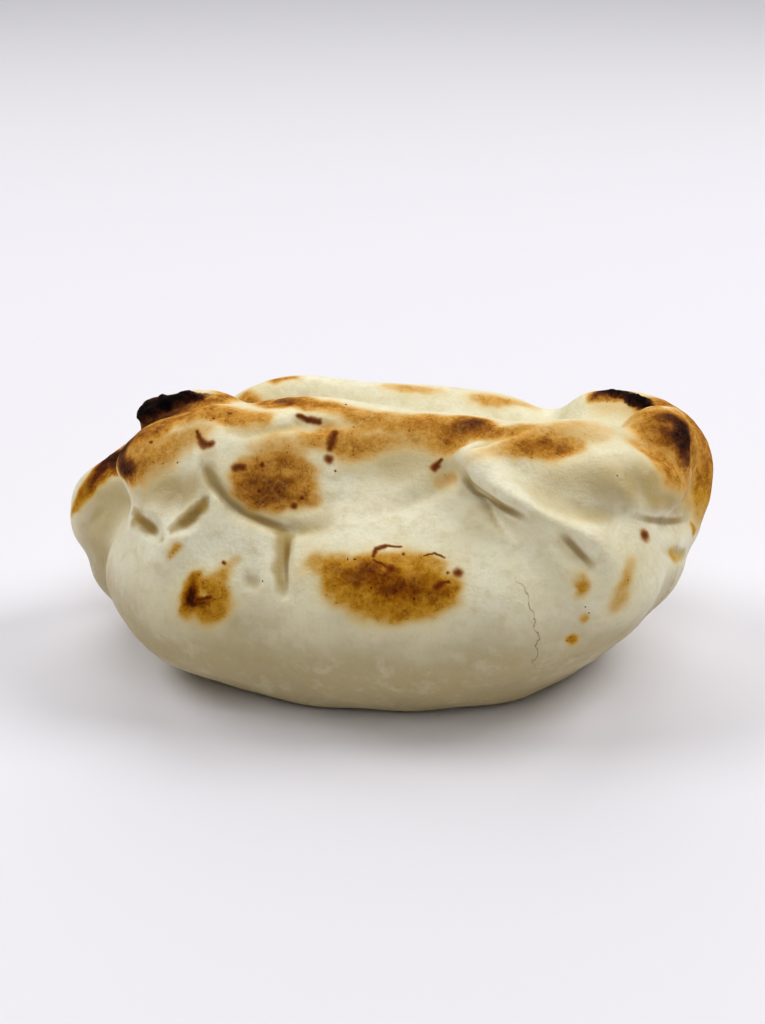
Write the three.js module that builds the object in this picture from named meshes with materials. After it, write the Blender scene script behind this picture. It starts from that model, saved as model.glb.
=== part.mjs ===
// Empanada: a pouch of baked wheat dough, its rim gathered along the top and folded over.
//
// Millimetres, +Z up. The pouch stands on its flat base at z = 0 with its length along X, the
// folded seam faces -Y, and the origin is under the middle of its bounding box.
//
// The crust is one closed solid. Its form is a field, negative inside the dough: mounds
// (ellipsoids) and rolls (round beads along smooth curves) that melt into each other over a
// stated width, with creases pressed in afterwards. A grid of cells over the field gives the
// surface.

import * as THREE from 'three';

// Overall size of the baked pouch.
const LENGTH = 131;
const DEPTH = 80;
const HEIGHT = 54;

// Radius of the beads of rolled dough, of the softer ones at the ends of the rim, and of the
// thin strap.
const RIM = 3.7;
const FOLD = 4.0;
const SOFT = 5.0;
const STRAP = 2.7;

// How far neighbouring forms melt together: a sharp tuck, a crease, a soft valley, a swell, and
// the long spread at the foot of the belly.
const TUCK = 2.6;
const CREASE = 3;
const VALLEY = 4;
const SWELL = 8;
const SPREAD = 12;

// Rounding where the belly turns under to the flat base.
const BASE_ROUND = 2;

// Side of the cells that the surface is drawn with, and the space sampled round the pouch.
const CELL = 2.6;
const MARGIN = 7;

// --- Forms -----------------------------------------------------------------------------------

// The lower of two values, rounded where they are less than `width` apart.
function melt(a, b, width) {
  const share = THREE.MathUtils.clamp(0.5 + (0.5 * (b - a)) / width, 0, 1);
  return b + (a - b) * share - width * share * (1 - share);
}

// A value that runs from `low` to `high` while x runs from x0 to x1.
function ramp(x, x0, x1, low, high) {
  return THREE.MathUtils.lerp(low, high, THREE.MathUtils.clamp((x - x0) / (x1 - x0), 0, 1));
}

// An ellipsoid about a centre, leaning about the Y axis by `lean` degrees (right end down).
function mound(centre, radii, lean = 0) {
  const middle = new THREE.Vector3(...centre);
  const size = new THREE.Vector3(...radii);
  const size2 = size.clone().multiply(size);
  const angle = THREE.MathUtils.degToRad(lean);
  const up = new THREE.Vector3(0, 1, 0);
  const q = new THREE.Vector3();
  const scaled = new THREE.Vector3();
  return (p) => {
    q.copy(p).sub(middle).applyAxisAngle(up, angle);
    const near = scaled.copy(q).divide(size).length();
    const slope = scaled.copy(q).divide(size2).length();
    return (near * (near - 1)) / (slope + 1e-9);
  };
}

// Stretches that a curve is divided into between two of its rows.
const CURVE_STEPS = 6;

// A bead of round section through rows of [x, y, z, radius], along a smooth curve.
function roll(rows) {
  const places = rows.map(([x, y, z]) => new THREE.Vector3(x, y, z));
  const curve = new THREE.CatmullRomCurve3(places, false, 'catmullrom', 0.5);
  const steps = CURVE_STEPS * (rows.length - 1);
  const stops = [];
  for (let i = 0; i <= steps; i += 1) {
    const along = i / steps;
    const place = along * (rows.length - 1);
    const row = Math.min(Math.floor(place), rows.length - 2);
    const radius = THREE.MathUtils.lerp(rows[row][3], rows[row + 1][3], place - row);
    stops.push({ at: curve.getPoint(along), radius });
  }
  return (p) => {
    let best = Infinity;
    for (let i = 0; i + 1 < stops.length; i += 1) {
      best = Math.min(best, coneDistance(p, stops[i], stops[i + 1]));
    }
    return best;
  };
}

const run = new THREE.Vector3();
const reach = new THREE.Vector3();

// Distance from p to the bead between two stops.
function coneDistance(p, from, to) {
  run.subVectors(to.at, from.at);
  reach.subVectors(p, from.at);
  const t = THREE.MathUtils.clamp(reach.dot(run) / run.lengthSq(), 0, 1);
  return reach.addScaledVector(run, -t).length() - THREE.MathUtils.lerp(from.radius, to.radius, t);
}

// --- The pouch --------------------------------------------------------------------------------

// The rear rim climbs from the left end, runs level along the back and stops at the notch.
const rearRim = roll([
  [-60.5, 8.5, 22.5, RIM],
  [-55, 10.5, 29.8, RIM],
  [-50, 14, 35.6, FOLD],
  [-42, 18, 38, FOLD],
  [-33, 20.5, 39.5, FOLD],
  [-25.5, 22.5, 44.6, FOLD],
  [-9.5, 23.5, 44.5, RIM],
  [14, 23.5, 42, RIM],
  [33.5, 21.5, 37, RIM],
]);

// The right rim rises from the notch and comes round the right end to the front.
const rightRim = roll([
  [35.5, 20.5, 36, FOLD],
  [42, 18, 43.2, SOFT],
  [51.5, 13.5, 43.9, SOFT],
  [58.7, 9.5, 40.5, SOFT],
  [59.5, 5.5, 31.5, SOFT],
  [57, 1.5, 27.5, SOFT],
]);

// The front wall's own rim, scorched at its free left end.
const innerRoll = roll([
  [-46, 7.5, 46.8, RIM],
  [-34.5, 5, 47.8, FOLD],
  [-27, 2.5, 47.2, RIM],
  [-16.5, -1, 50, FOLD],
  [-1, -2.5, 48, RIM],
]);

// The flap laid over the front: a knob at the left, a rounded edge along the crest.
const flapKnob = roll([
  [-47.5, -5.5, 41, FOLD],
  [-42, -5, 46, RIM],
  [-34, -5.5, 48, RIM],
]);
const flapEdge = roll([
  [-34, -5.5, 47.5, FOLD],
  [-23, -8.5, 48, RIM],
  [-8.5, -7, 48, RIM],
  [9.5, -6, 48, FOLD],
  [24, -7.5, 46.5, FOLD],
]);

// The right flap: its upper edge, and the roll that curls forward and down from its tip.
const rightFlapEdge = roll([
  [15.5, -16.5, 46, RIM],
  [26.5, -11, 48, FOLD],
  [38, -8.5, 48.5, FOLD],
  [47, -5.5, 43.5, SOFT],
]);
const rightFlapRoll = roll([
  [15.2, -16.4, 47, RIM],
  [18.6, -20.4, 45.5, RIM],
  [22.3, -23.8, 43.6, FOLD],
  [28.6, -26, 39.4, FOLD],
  [35, -27, 35, SOFT],
  [40.5, -25.5, 30, 6],
]);

// A strap of dough from the left belly up to the bulge, and one down from the right knob.
const leftStrap = roll([
  [-42, -23.5, 30, STRAP],
  [-38, -22.8, 35, STRAP],
  [-34.5, -19.8, 39, STRAP],
  [-32, -15, 41.5, STRAP],
]);
const rightStrap = roll([
  [39.5, -11.5, 45, SOFT],
  [42, -17.5, 43, SOFT],
  [45.5, -19.5, 40, FOLD],
]);

// The lump at the left rear end, and the knob of the flap with its strap, join up first.
const leftEnd = join([
  [0, mound([-47.5, 9.5, 26], [17.5, 12, 12])],
  [SOFT, mound([-42, 8.5, 15.5], [20.5, 13, 15])],
]);
const leftFlap = join([
  [0, mound([-42, -5, 39.5], [9.5, 9, 11.5], 20)],
  [VALLEY, flapKnob],
  [VALLEY, mound([-41, -13.5, 33], [8, 8, 7])],
  [VALLEY, mound([-34, -11, 42], [6, 6.5, 6])],
  [(p) => ramp(p.z, 32, 40, SOFT, VALLEY), leftStrap],
]);

const pouch = join([
  // Belly: one long body with a front bulge, a left cheek, a right end and the rear half,
  // filled out below the right flap and under the left one.
  [0, mound([2, 0, 17.5], [50, 37, 26.5])],
  [SOFT, mound([6, -15, 21.5], [38, 23.5, 17.5])],
  [(p) => ramp(p.z, 8, 26, SPREAD, CREASE), mound([-33, -8.7, 21], [22, 21.7, 17.5])],
  [SWELL, mound([40.5, -0.5, 26], [19, 22.5, 16])],
  [SWELL, mound([-2, 11.5, 25], [46, 27, 17])],
  [SWELL, mound([25, -14.5, 24], [21, 21.5, 14.5])],
  [SOFT, mound([-27, -13.5, 33], [13, 9.5, 7.5])],
  [VALLEY, leftEnd],
  // Rear wall and the right end.
  [SOFT, mound([-2, 23.5, 38], [36, 7, 8])],
  [SOFT, rearRim],
  [SOFT, mound([46, 10.5, 36], [13, 9, 9])],
  [SOFT, rightRim],
  // Front wall.
  [SOFT, mound([-4, -1.5, 38], [42, 9, 8])],
  [SOFT, mound([-40, 1, 40], [12, 7, 8])],
  [VALLEY, innerRoll],
  // Flap over the front, with the bulge in its middle.
  [VALLEY, leftFlap],
  [(p) => ramp(p.z, 36, 42, TUCK, SWELL), mound([-22, -8.5, 41], [13, 9.7, 8.3], 35)],
  [SWELL, mound([-1, -7.5, 40.5], [22, 8, 6.5])],
  [SWELL, flapEdge],
  // Right flap and its knob.
  [VALLEY, mound([34.5, -13, 40], [21, 11, 9.5])],
  [VALLEY, rightFlapEdge],
  [(p) => ramp(p.x, 18, 34, TUCK, SPREAD), rightFlapRoll],
  [VALLEY, rightStrap],
  [VALLEY, mound([54, 4, 38], [7, 7, 9])],
  [CREASE, mound([52, -3, 42], [8.2, 8.5, 10.5])],
]);

// Forms melted together in order; each entry is [melt width, form].
function join(forms) {
  return (p) => {
    let value = forms[0][1](p);
    for (const [width, form] of forms.slice(1)) {
      value = melt(form(p), value, typeof width === 'function' ? width(p) : width);
    }
    return value;
  };
}

// A crease of one width and depth through rows of [x, y, z], pressed into the dough.
function crease(width, depth, rows) {
  const line = roll(rows.map((row) => [...row, 0]));
  return (p) => depth * Math.exp(-((line(p) / width) ** 2));
}

// Widths and depths of the creases.
const NARROW = 2;
const WIDE = 3;
const GATHER = 5;
const SHALLOW = 1.2;
const DEEP = 2;
const SPLIT = 3;

const creases = [
  // Between the left and the middle of the belly.
  crease(WIDE, SPLIT, [[-18.5, -21.5, 36], [-19.5, -25, 33.5], [-19.5, -29, 30]]),
  // Two pockets under the flap's left knob, either side of the strap.
  crease(NARROW, DEEP, [[-47.5, -15.5, 36], [-45.5, -18, 35], [-43, -20, 35]]),
  crease(NARROW, DEEP, [[-39, -22, 37], [-36.5, -22, 38.5], [-34, -21, 40.5]]),
  // Under the bulge.
  crease(NARROW, SHALLOW, [[-33.5, -17.5, 45], [-27, -19, 38.5], [-18.5, -21.5, 36]]),
  // At the tip of the right flap, and a second fold below its roll.
  crease(NARROW, SHALLOW, [[8.5, -16.5, 42], [10.5, -14.5, 43.5], [12.5, -16.5, 45.5]]),
  crease(WIDE, SHALLOW, [[27.5, -28, 41], [33, -31, 37], [36.5, -33.5, 33.5]]),
  // Under the right knob.
  crease(NARROW, DEEP, [[41.5, -24, 41], [48, -20.5, 37.5], [56, -10, 32], [59.5, -3, 29.5]]),
  // Gathers of the rear wall below the rim.
  crease(GATHER, SHALLOW, [[-33, 24, 35], [-36, 30, 25], [-35, 33, 14]]),
  crease(GATHER, SHALLOW, [[-8, 30, 36], [-6, 37, 26], [-9, 39, 14]]),
  crease(GATHER, SHALLOW, [[24, 27, 34], [28, 33, 24], [26, 36, 13]]),
];

// Slow unevenness of hand-shaped dough.
function unevenness({ x, y, z }) {
  const slow = Math.sin(0.16 * x + 1.3) * Math.sin(0.19 * y) * Math.sin(0.21 * z + 0.9);
  const quick = Math.sin(0.31 * x + 0.2 * z) * Math.sin(0.3 * y - 0.27 * z + 0.9);
  return 0.45 * slow + 0.25 * quick;
}

function dough(p) {
  let value = pouch(p) + unevenness(p);
  for (const pressed of creases) {
    value += pressed(p);
  }
  return -melt(-value, p.z, BASE_ROUND);
}

// --- Surface ----------------------------------------------------------------------------------

// Samples the field on a grid that covers the pouch.
function sampleGrid(field) {
  const low = new THREE.Vector3(-LENGTH / 2 - MARGIN, -DEPTH / 2 - MARGIN, -MARGIN);
  const high = new THREE.Vector3(LENGTH / 2 + MARGIN, DEPTH / 2 + MARGIN, HEIGHT + MARGIN);
  const count = high.clone().sub(low).divideScalar(CELL).ceil();
  const stride = [1, count.x + 1, (count.x + 1) * (count.y + 1)];
  const values = new Float32Array(stride[2] * (count.z + 1));
  const p = new THREE.Vector3();
  for (let k = 0; k <= count.z; k += 1) {
    for (let j = 0; j <= count.y; j += 1) {
      for (let i = 0; i <= count.x; i += 1) {
        p.set(i, j, k).multiplyScalar(CELL).add(low);
        values[i + j * stride[1] + k * stride[2]] = field(p);
      }
    }
  }
  return { low, stride, values: evened(values, stride) };
}

// Each sample drawn halfway to the mean of its six neighbours, so that no gap that is narrower
// than a cell is left between two folds.
function evened(values, stride) {
  return values.map((value, index) => {
    let sum = 0;
    for (const step of stride) {
      sum += (values[index - step] ?? value) + (values[index + step] ?? value);
    }
    return (value + sum / 6) / 2;
  });
}

// Grid index to a point in cells from the grid's low corner.
function gridPoint(index, stride) {
  const k = Math.floor(index / stride[2]);
  const j = Math.floor((index - k * stride[2]) / stride[1]);
  return new THREE.Vector3(index - k * stride[2] - j * stride[1], j, k);
}

// One vertex in each cell that the surface crosses, and one quad for each grid edge that it
// crosses, between the four cells round that edge.
function netSurface(field) {
  const { low, stride, values } = sampleGrid(field);
  const cells = new Map();
  const quads = [];
  const nearCell = (cell, point) => {
    if (!cells.has(cell)) {
      cells.set(cell, { number: cells.size, sum: new THREE.Vector3(), count: 0 });
    }
    const entry = cells.get(cell);
    entry.sum.add(point);
    entry.count += 1;
    return entry.number;
  };
  for (let index = 0; index < values.length; index += 1) {
    for (let axis = 0; axis < 3; axis += 1) {
      const here = values[index];
      const next = values[index + stride[axis]];
      if (next === undefined || here < 0 === next < 0) {
        continue;
      }
      const crossing = gridPoint(index, stride);
      crossing.setComponent(axis, crossing.getComponent(axis) + here / (here - next));
      const [s, t] = [stride[(axis + 1) % 3], stride[(axis + 2) % 3]];
      const round = [index - s - t, index - t, index, index - s];
      const quad = round.map((cell) => nearCell(cell, crossing));
      quads.push(here < 0 ? quad : quad.reverse());
    }
  }
  const points = [...cells.values()].map(({ sum, count }) =>
    sum.divideScalar(count).multiplyScalar(CELL).add(low));
  return { points, quads };
}

// Moves a point along the field's slope onto the surface, by no more than half a cell.
function settle(point, field) {
  const reachOut = 0.2;
  const slope = new THREE.Vector3();
  for (let axis = 0; axis < 3; axis += 1) {
    const ahead = point.clone();
    const behind = point.clone();
    ahead.setComponent(axis, point.getComponent(axis) + reachOut);
    behind.setComponent(axis, point.getComponent(axis) - reachOut);
    slope.setComponent(axis, (field(ahead) - field(behind)) / (2 * reachOut));
  }
  const move = slope.multiplyScalar(-field(point) / (slope.lengthSq() + 1e-6));
  point.add(move.clampLength(0, CELL / 2));
}

// Two triangles for each quad, cut along its shorter diagonal.
function triangles(points, quads) {
  const index = [];
  for (const [a, b, c, d] of quads) {
    if (points[a].distanceTo(points[c]) < points[b].distanceTo(points[d])) {
      index.push(a, b, c, a, c, d);
    } else {
      index.push(a, b, d, b, c, d);
    }
  }
  return index;
}

// Puts the base on z = 0, the middle over the origin, and brings the size to the stated one.
function fitToSize(points) {
  const box = new THREE.Box3().setFromPoints(points);
  const size = box.getSize(new THREE.Vector3());
  const middle = box.getCenter(new THREE.Vector3()).setZ(box.min.z);
  const scale = new THREE.Vector3(LENGTH, DEPTH, HEIGHT).divide(size);
  for (const point of points) {
    point.sub(middle).multiply(scale);
  }
}

// The base is cut flat, so points within this height of it lie on it.
const FLAT_BAND = 0.3;

function crustGeometry() {
  const { points, quads } = netSurface(dough);
  for (const point of points) {
    settle(point, dough);
    settle(point, dough);
    if (point.z < FLAT_BAND) {
      point.z = 0;
    }
  }
  fitToSize(points);
  const geometry = new THREE.BufferGeometry().setFromPoints(points);
  geometry.setIndex(triangles(points, quads));
  geometry.computeVertexNormals();
  return geometry;
}

const crustMaterial = new THREE.MeshStandardMaterial({
  color: 0xe3d6b6,
  roughness: 0.6,
  metalness: 0,
});

const crust = new THREE.Mesh(crustGeometry(), crustMaterial);
crust.name = 'empanada';

const empanada = new THREE.Group();
empanada.add(crust);

export default empanada;
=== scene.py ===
"""A baked empanada on a pale floor.

The crust is built as one mesh: a field that is negative inside the dough (mounds and rolls that
melt together, creases pressed in) gives the surface, marks placed on it by the line of sight
through a pixel of the photo give toast, scorch, stain and painted shade in the folds, and noise
gives the fine relief. All modelling is in millimetres in the part's own frame and becomes metres
when the mesh is made.
"""
import math
from functools import reduce

import bpy
import numpy as np
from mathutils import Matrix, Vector


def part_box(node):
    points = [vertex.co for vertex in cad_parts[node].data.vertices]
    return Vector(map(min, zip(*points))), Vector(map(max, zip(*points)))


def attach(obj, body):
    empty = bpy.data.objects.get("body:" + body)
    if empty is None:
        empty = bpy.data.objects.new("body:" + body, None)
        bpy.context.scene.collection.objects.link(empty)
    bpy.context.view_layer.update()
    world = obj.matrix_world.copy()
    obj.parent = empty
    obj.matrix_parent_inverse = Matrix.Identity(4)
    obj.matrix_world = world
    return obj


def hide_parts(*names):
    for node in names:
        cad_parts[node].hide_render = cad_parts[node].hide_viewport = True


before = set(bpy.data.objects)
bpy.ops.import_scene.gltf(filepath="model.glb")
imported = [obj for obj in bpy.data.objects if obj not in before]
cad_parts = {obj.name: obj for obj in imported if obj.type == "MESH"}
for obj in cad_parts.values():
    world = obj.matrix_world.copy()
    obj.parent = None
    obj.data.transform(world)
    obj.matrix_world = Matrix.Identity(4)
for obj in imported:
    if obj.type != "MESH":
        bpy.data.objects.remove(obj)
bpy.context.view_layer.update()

NODE = "empanada"
MM = 0.001
TINY = 1e-9     # keeps a division by zero away

# --- The photo's view ---

PHOTO_WIDTH = 765
PHOTO_HEIGHT = 1024
LENS = 50.0
SENSOR = 36.0
ELEVATION = math.radians(25)
DISTANCE = 288.0
TARGET = np.array([-1.2, 3.5, 27.1])     # the place seen in the middle of the photo

BACKWARD = np.array([0.0, -math.cos(ELEVATION), math.sin(ELEVATION)])
RIGHTWARD = np.array([1.0, 0.0, 0.0])
UPWARD = np.cross(BACKWARD, RIGHTWARD)
EYE = TARGET + DISTANCE * BACKWARD
FOCAL_PX = LENS / SENSOR * PHOTO_HEIGHT


def sight(pixel):
    """Unit direction of the line of sight through a pixel of the photo."""
    u, v = pixel
    direction = (RIGHTWARD * (u - PHOTO_WIDTH / 2) - UPWARD * (v - PHOTO_HEIGHT / 2)
                 - BACKWARD * FOCAL_PX)
    return direction / np.linalg.norm(direction)


# --- Forms: fields over points, negative inside ---

# Bead radii and melt widths. They are the part's own, but for TUCK and CREASE, which are sharper
# here than the larger cells of the part can show.
RIM = 3.7
FOLD = 4.0
SOFT = 5.0
STRAP = 2.7
TUCK = 1.4
CREASE = 2.4
VALLEY = 4.0
SWELL = 8.0
SPREAD = 12.0
BASE_ROUND = 2.0

# Stretches of a smooth path between two of its rows.
CURVE_STEPS = 6
# Rounding at the bottom of a groove.
FOLD_BOTTOM = 0.4
# A bead's own shape counts within this distance of its box.
BEAD_REACH = 8.0


def melt(a, b, width):
    share = np.clip(0.5 + 0.5 * (b - a) / width, 0, 1)
    return b + (a - b) * share - width * share * (1 - share)


def ramp(x, x0, x1, low, high):
    return low + (high - low) * np.clip((x - x0) / (x1 - x0), 0, 1)


def smoothstep(x, x0, x1):
    t = np.clip((x - x0) / (x1 - x0), 0, 1)
    return t * t * (3 - 2 * t)


def lengths(vectors):
    return np.sqrt(np.einsum("ij,ij->i", vectors, vectors))


def mound(centre, radii, lean=0.0):
    """An ellipsoid, leaning about the Y axis by `lean` degrees (right end down)."""
    radii = np.array(radii, float)
    c = math.cos(math.radians(lean))
    s = math.sin(math.radians(lean))

    def field(p):
        q = p - centre
        if lean:
            q = np.stack([c * q[:, 0] - s * q[:, 2], q[:, 1], s * q[:, 0] + c * q[:, 2]], axis=1)
        near = lengths(q / radii)
        return near * (near - 1) / (lengths(q / radii ** 2) + TINY)
    return field


def smooth_path(rows):
    """Catmull-Rom curve through rows of numbers."""
    rows = np.array(rows, float)
    if len(rows) < 3:
        return rows
    padded = np.vstack([2 * rows[0] - rows[1], rows, 2 * rows[-1] - rows[-2]])
    path = []
    for before, start, end, after in zip(padded, padded[1:], padded[2:], padded[3:]):
        for t in np.arange(CURVE_STEPS) / CURVE_STEPS:
            path.append(0.5 * (2 * start + (end - before) * t
                               + (2 * before - 5 * start + 4 * end - after) * t ** 2
                               + (3 * start - before - 3 * end + after) * t ** 3))
    path.append(rows[-1])
    return np.array(path)


def stretches(p, path):
    """For each stretch of a path: its two rows, how far along it the place nearest to each point
    lies, from 0 to 1, and the point's offset from there."""
    for start, end in zip(path[:-1], path[1:]):
        run = end[:3] - start[:3]
        t = np.clip((p - start[:3]) @ run / (run @ run + TINY), 0, 1)
        yield start, end, t, p - start[:3] - t[:, None] * run


def along_path(p, path):
    """Distance from each point to a path, and the path's further columns at the nearest place."""
    best = np.full(len(p), np.inf)
    values = np.zeros((len(p), path.shape[1] - 3))
    for start, end, t, offset in stretches(p, path):
        distance = lengths(offset)
        closer = distance < best
        best[closer] = distance[closer]
        values[closer] = start[3:] + t[closer, None] * (end[3:] - start[3:])
    return best, values


def from_box(p, path, margin):
    """Distance from each point to the box round a path, widened by a margin."""
    low = path[:, :3].min(axis=0) - margin
    high = path[:, :3].max(axis=0) + margin
    return lengths(np.maximum(np.maximum(low - p, p - high), 0))


def roll(rows):
    """A bead of round section through rows of [x, y, z, radius]."""
    path = smooth_path(rows)

    def field(p):
        far = from_box(p, path, path[:, 3].max())
        value = far + 1
        close = far < BEAD_REACH
        best = np.full(close.sum(), np.inf)
        for start, end, t, offset in stretches(p[close], path):
            best = np.minimum(best, lengths(offset) - (start[3] + t * (end[3] - start[3])))
        value[close] = best
        return value
    return field


def join(forms):
    """Forms melted together in order; each entry is (melt width, form)."""
    def field(p):
        value = forms[0][1](p)
        for width, form in forms[1:]:
            value = melt(form(p), value, width(p) if callable(width) else width)
        return value
    return field


def groove(rows):
    """A fold line through rows of [x, y, z, half width, depth], sharp at its bottom and round
    at its shoulders; a negative depth raises a ridge."""
    path = smooth_path(rows)
    reach = path[:, 3].max()

    def field(p):
        value = np.zeros(len(p))
        close = from_box(p, path, reach) <= 0
        if close.any():
            distance, at = along_path(p[close], path)
            rounded = np.sqrt(distance ** 2 + FOLD_BOTTOM ** 2) - FOLD_BOTTOM
            value[close] = at[:, 1] * np.maximum(0, 1 - rounded / at[:, 0]) ** 2
        return value
    return field


# --- The pouch ---

REAR_RIM = [[-60.5, 8.5, 22.5, RIM], [-55, 10.5, 29.8, RIM], [-50, 14, 35.6, FOLD],
            [-42, 18, 38, FOLD], [-33, 20.5, 39.5, FOLD], [-25.5, 22.5, 44.6, FOLD],
            [-9.5, 23.5, 44.5, RIM], [14, 23.5, 42, RIM], [33.5, 21.5, 37, RIM]]
RIGHT_RIM = [[35.5, 20.5, 36, FOLD], [42, 18, 43.2, SOFT], [51.5, 13.5, 43.9, SOFT],
             [58.7, 9.5, 40.5, SOFT], [59.5, 5.5, 31.5, SOFT], [57, 1.5, 27.5, SOFT]]
INNER_ROLL = [[-46, 7.5, 47.2, RIM], [-34.5, 5, 48.6, FOLD], [-27, 2.5, 47.6, RIM],
              [-16.5, -1, 50, FOLD], [-1, -2.5, 48, RIM]]
FLAP_KNOB = [[-47.5, -5.5, 40.4, FOLD], [-42, -5, 44.8, RIM], [-34, -5.5, 47.8, RIM]]
FLAP_EDGE = [[-34, -5.5, 47.5, FOLD], [-23, -8.5, 48, RIM], [-8.5, -7, 48, RIM],
             [9.5, -6, 48, FOLD], [24, -7.5, 46.5, FOLD]]
RIGHT_FLAP_EDGE = [[15.5, -16.5, 46, RIM], [26.5, -11, 48, FOLD], [38, -8.5, 48.5, FOLD],
                   [47, -5.5, 43.5, SOFT]]
RIGHT_FLAP_ROLL = [[15.2, -16.4, 47, RIM], [18.6, -20.4, 45.5, RIM], [22.3, -23.8, 43.6, FOLD],
                   [28.6, -26, 39.4, FOLD], [35, -27, 35, SOFT], [40.5, -25.5, 30, 6]]
LEFT_STRAP = [[-42, -23.5, 30, STRAP], [-38, -22.8, 35, STRAP], [-34.5, -19.8, 39, STRAP],
              [-32, -15, 41.5, STRAP]]
RIGHT_STRAP = [[39.5, -11.5, 45, SOFT], [42, -17.5, 43, SOFT], [45.5, -19.5, 40, FOLD]]


def pouch_form():
    """The pouch without its creases: belly, rear wall, front wall and the two flaps."""
    left_end = join([
        (0, mound([-47.5, 9.5, 26], [17.5, 12, 12])),
        (SOFT, mound([-42, 8.5, 15.5], [20.5, 13, 15])),
    ])
    left_flap = join([
        (0, mound([-42, -5, 39.5], [9.5, 9, 10.8], 12)),
        (VALLEY, roll(FLAP_KNOB)),
        (VALLEY, mound([-41, -13.5, 33], [8, 8, 7])),
        (VALLEY, mound([-34, -11, 42], [6, 6.5, 6])),
        (lambda p: ramp(p[:, 2], 32, 40, SOFT, VALLEY), roll(LEFT_STRAP)),
    ])
    return join([
        (0, mound([2, 0, 17.5], [50, 37, 26.5])),
        (SOFT, mound([6, -15, 21.5], [38, 23.5, 17.5])),
        (lambda p: ramp(p[:, 2], 8, 26, SPREAD, CREASE), mound([-33, -8.7, 21], [22, 21.7, 17.5])),
        (SWELL, mound([40.5, -0.5, 26], [19, 22.5, 16])),
        (SWELL, mound([-2, 11.5, 25], [46, 27, 17])),
        (SWELL, mound([25, -14.5, 24], [21, 21.5, 14.5])),
        (SOFT, mound([-27, -13.5, 33], [13, 9.5, 7.5])),
        (VALLEY, left_end),
        (SOFT, mound([-2, 23.5, 38], [36, 7, 8])),
        (SOFT, roll(REAR_RIM)),
        (SOFT, mound([46, 10.5, 36], [13, 9, 9])),
        (SOFT, roll(RIGHT_RIM)),
        (SOFT, mound([-4, -1.5, 38], [42, 9, 8])),
        (SOFT, mound([-40, 1, 40], [12, 7, 8])),
        (VALLEY, roll(INNER_ROLL)),
        (VALLEY, left_flap),
        (lambda p: ramp(p[:, 2], 36, 42, TUCK, SWELL), mound([-22, -8.5, 41], [13, 9.7, 8.3], 35)),
        (SWELL, mound([-1, -7.5, 40.5], [22, 8, 6.5])),
        (SWELL, roll(FLAP_EDGE)),
        (VALLEY, mound([34.5, -13, 40], [21, 11, 9.5])),
        (VALLEY, roll(RIGHT_FLAP_EDGE)),
        (lambda p: ramp(p[:, 0], 18, 34, TUCK, SPREAD), roll(RIGHT_FLAP_ROLL)),
        (VALLEY, roll(RIGHT_STRAP)),
        (VALLEY, mound([54, 1, 40.5], [5.4, 8, 10.4])),
        (CREASE, mound([51, -3, 42], [8, 8.5, 10.5])),
    ])


def unevenness(p):
    """Slow unevenness of hand-shaped dough, as in the part's source."""
    x, y, z = p.T
    slow = np.sin(0.16 * x + 1.3) * np.sin(0.19 * y) * np.sin(0.21 * z + 0.9)
    quick = np.sin(0.31 * x + 0.2 * z) * np.sin(0.3 * y - 0.27 * z + 0.9)
    return 0.45 * slow + 0.25 * quick


pouch = pouch_form()

# Distances from the camera between which a line of sight is followed, and its first steps.
NEAREST = 200.0
FARTHEST = 370.0
STEP = 0.5
HALVINGS = 8


def meet(rows, form):
    """Where the lines of sight through the pixels of rows of [u, v, ...] first meet a form.

    A line that passes just outside the form gives its nearest place to it."""
    directions = np.array([sight(row[:2]) for row in rows])
    reach = np.arange(NEAREST, FARTHEST, STEP)
    points = EYE + reach[None, :, None] * directions[:, None, :]
    value = form(points.reshape(-1, 3)).reshape(points.shape[:2])
    inside = value < 0
    first = np.where(inside.any(axis=1), inside.argmax(axis=1), value.argmin(axis=1))
    high = reach[first]
    low = high - STEP
    for _ in range(HALVINGS):
        middle = (low + high) / 2
        hit = form(EYE + middle[:, None] * directions) < 0
        high = np.where(hit, middle, high)
        low = np.where(hit, low, middle)
    return EYE + high[:, None] * directions


def placed(rows, form):
    """Rows of [u, v, ...] in the photo to rows of [x, y, z, ...] on a form."""
    return [[*spot, *row[2:]] for spot, row in zip(meet(rows, form), rows)]


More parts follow.
